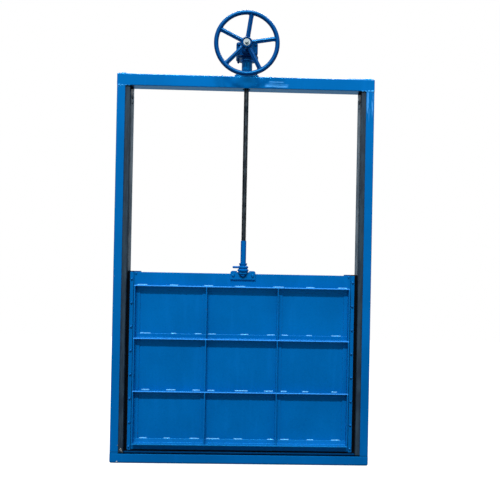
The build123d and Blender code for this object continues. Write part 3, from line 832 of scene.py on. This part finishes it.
# These dark blocks deepen the shade in the corners, a painted shade.
piece("corner_shade_blocks", shade_blocks, "black_rubber", "frame")

# %% Strip screws
SCREW_X, SCREW_HEIGHTS = 0.907, (2.878, 2.838)
strip_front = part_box("right_seal_face")[0].y
screw = turned([(0, 0), (0.0055, 0), (0.005, 0.0012), (0.0028, 0.0012), (0.0022, 0.0004), (0, 0.0004)], 12)
screws = [toward(screw, (side * SCREW_X, strip_front, z), OUT) for side in (-1, 1) for z in SCREW_HEIGHTS]
piece("strip_screws", screws, "black_rubber", "frame", 25.0)

# %% [markdown]
# ## Mortar and spatter
# The frame has stood on a workshop floor. A few crumbs of dried mortar stick to the foot of the left guide
# and to the frame's corner, and a little weld spatter to the leaf's lower corner. Each is a low dome, so
# small that ten sides are enough.

# %% Crumbs
def dome(at, axis, size):
    """A low dome: a circle whose height falls off as the cosine of its share of the radius."""
    share = np.linspace(1, 0, 5)
    profile = np.column_stack([size * share, 0.6 * size * np.cos(share * np.pi / 2)])
    return toward(turned([(0, -0.001), (size, -0.001), *profile[1:]], 10), at, axis)


on_guide = [(-0.936, 0.100, 0.005), (-0.930, 0.108, 0.006), (-0.925, 0.093, 0.006), (-0.918, 0.084, 0.004),
            (-0.921, 0.100, 0.003)]
on_frame = [(-0.953, 0.136, 0.004), (-0.957, 0.011, 0.005), (-0.963, 0.010, 0.003)]
on_skin = [(-0.846, 0.146, 0.004), (-0.872, 0.140, 0.0035), (-0.828, 0.160, 0.0035)]
mortar = polymer("dry_mortar", rgb(112, 118, 116), rgb(190, 196, 190), 0.85)
guide_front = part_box("left_front_guide")[0].y
crumbs = [dome((x, guide_front, z), OUT, size) for x, z, size in on_guide]
crumbs += [dome((x, front, z), OUT, size) for x, z, size in on_frame]
piece("mortar_crumbs", crumbs, "guide_polymer", "frame", 60.0, mortar)
spatter = [dome((x, skin, z), OUT, size) for x, z, size in on_skin]
# The spatter takes the pale weld coat, a painted highlight.
piece("weld_spatter", spatter, "leaf_paint", "gate_leaf", 60.0, weld_highlight_finish)

# %% [markdown]
# ## The floor
# The gate stands on a plain pale floor that has to look white, yet a white floor would throw too much light
# up under the ribs and mirror as a white band in the paint. So it answers each kind of ray in its own way:
# the camera sees it glow, fully from six metres away, mirrored rays see a soft blue glow, and all other
# light meets a grey.

# %% Floor
WHITE, SKY_BLUE = (1.0, 1.0, 1.0, 1.0), (0.4, 0.72, 1.0, 1.0)
REACH = 9
ground = Graph(bpy.data.materials.new("floor"))
from_camera = ground.seen_by("Camera")
pale = ground.blend(from_camera, rgb(120, 120, 120), rgb(232, 232, 232))
matt = ground.node("BsdfDiffuse", {}, {"Color": pale})
mirror_glow = ground.node("Emission", {}, {"Color": SKY_BLUE, "Strength": 0.55})
lit = ground.node("MixShader", {}, {0: ground.seen_by("Glossy"), 1: matt, 2: mirror_glow})
glow = ground.node("Emission", {}, {"Color": WHITE, "Strength": 1.25})
away = ground.node("VectorMath", {"operation": "LENGTH"}, {0: ground.place()}, output="Value")
share = 0.7 + ground.step(away, 2.0, 6.0) * 0.3
shown = ground.node("MixShader", {}, {0: from_camera * share, 1: lit, 2: glow})
ground.node("OutputMaterial", {}, {"Surface": shown})
floor_mesh = bpy.data.meshes.new("floor")
corners = [(-REACH, -REACH, 0), (REACH, -REACH, 0), (REACH, REACH, 0), (-REACH, REACH, 0)]
floor_mesh.from_pydata(corners, [], [(0, 1, 2, 3)])
floor_mesh.materials.append(ground.owner)
floor = bpy.data.objects.new("floor", floor_mesh)
bpy.context.scene.collection.objects.link(floor)
print("floor of", 2 * REACH, "m")

# %% [markdown]
# ## The sky
# The camera sees a white sky. What it lends to matt paint is soft and comes from the front and above, so
# that the shadows stay deep. Gloss paint gets its colour from what it mirrors: a bright band in front, a
# paler one overhead that grows towards the top, a little from the ground, and near the horizon at the sides
# almost nothing, all of it bluish.

# %% Sky
AMBIENT = 0.52
SOFT_FROM, BAND_AT = (0.0, -0.86, 0.5), (0.0, -0.9, 0.42)
sky = Graph(bpy.data.worlds.new("sky"))
camera_ray, glossy_ray = sky.seen_by("Camera"), sky.seen_by("Glossy")
way = sky.node("TexCoord", output="Generated")
soft = 0.05 + sky.step(sky.alike(way, SOFT_FROM), 0.1, 0.95) * AMBIENT
up = sky.alike(way, (0.0, 0.0, 1.0))
band = sky.step(sky.alike(way, BAND_AT), 0.55, 0.9) * 1.35
low_sky, high_sky = sky.step(up, 0.05, 0.35) * 0.8, sky.step(up, 0.3, 0.7) * 1.2
below = sky.step(0 - up, 0.05, 0.3) * 0.8
glossy = 0.03 + band + low_sky + high_sky + below
level = camera_ray + (1 - camera_ray) * (glossy_ray * glossy + (1 - glossy_ray) * soft)
tint = sky.blend(glossy_ray, WHITE, SKY_BLUE)
background = sky.node("Background", {}, {"Color": tint, "Strength": level})
sky.node("OutputWorld", {}, {"Surface": background})
bpy.context.scene.world = sky.owner
print("soft light from the front and above:", AMBIENT)

# %% [markdown]
# ## The lamps
# Three lamps light the gate. The key is far away in front, at about 45 degrees above and a little to the
# left: its height sets the depth of the dark band under each rib, and its distance keeps all four bands
# alike. A weak one overhead and one high behind the gate draw bright lines on every upper edge.

# %% Lamps
def lamp(name, at, target, width, height, watts):
    """A rectangular lamp that shines from one point towards another. Its third axis points back from
    the target, and the first lies level."""
    light = bpy.data.lights.new(name, "AREA")
    light.shape, light.size, light.size_y, light.energy = "RECTANGLE", width, height, watts
    back = np.array(at, float) - np.array(target, float)
    back /= np.linalg.norm(back)
    side = np.cross(UP, back)
    side /= np.linalg.norm(side)
    stand(bpy.data.objects.new(name, light), np.column_stack([side, np.cross(back, side), back]), at)
    print(f"{name}: {watts} W")


lamp("key", (-2.1, -21.0, 22.4), (0, 0, 0), width=9.75, height=1.3, watts=8750)
lamp("overhead", (0, -1.8, 7.5), (0, -0.2, 0), width=5.0, height=1.0, watts=70)
lamp("behind", (0.4, 3.2, 7.5), (0, -0.2, 1.6), width=5.0, height=1.2, watts=420)
bpy.context.scene.view_settings.view_transform = "Standard"

# %% [markdown]
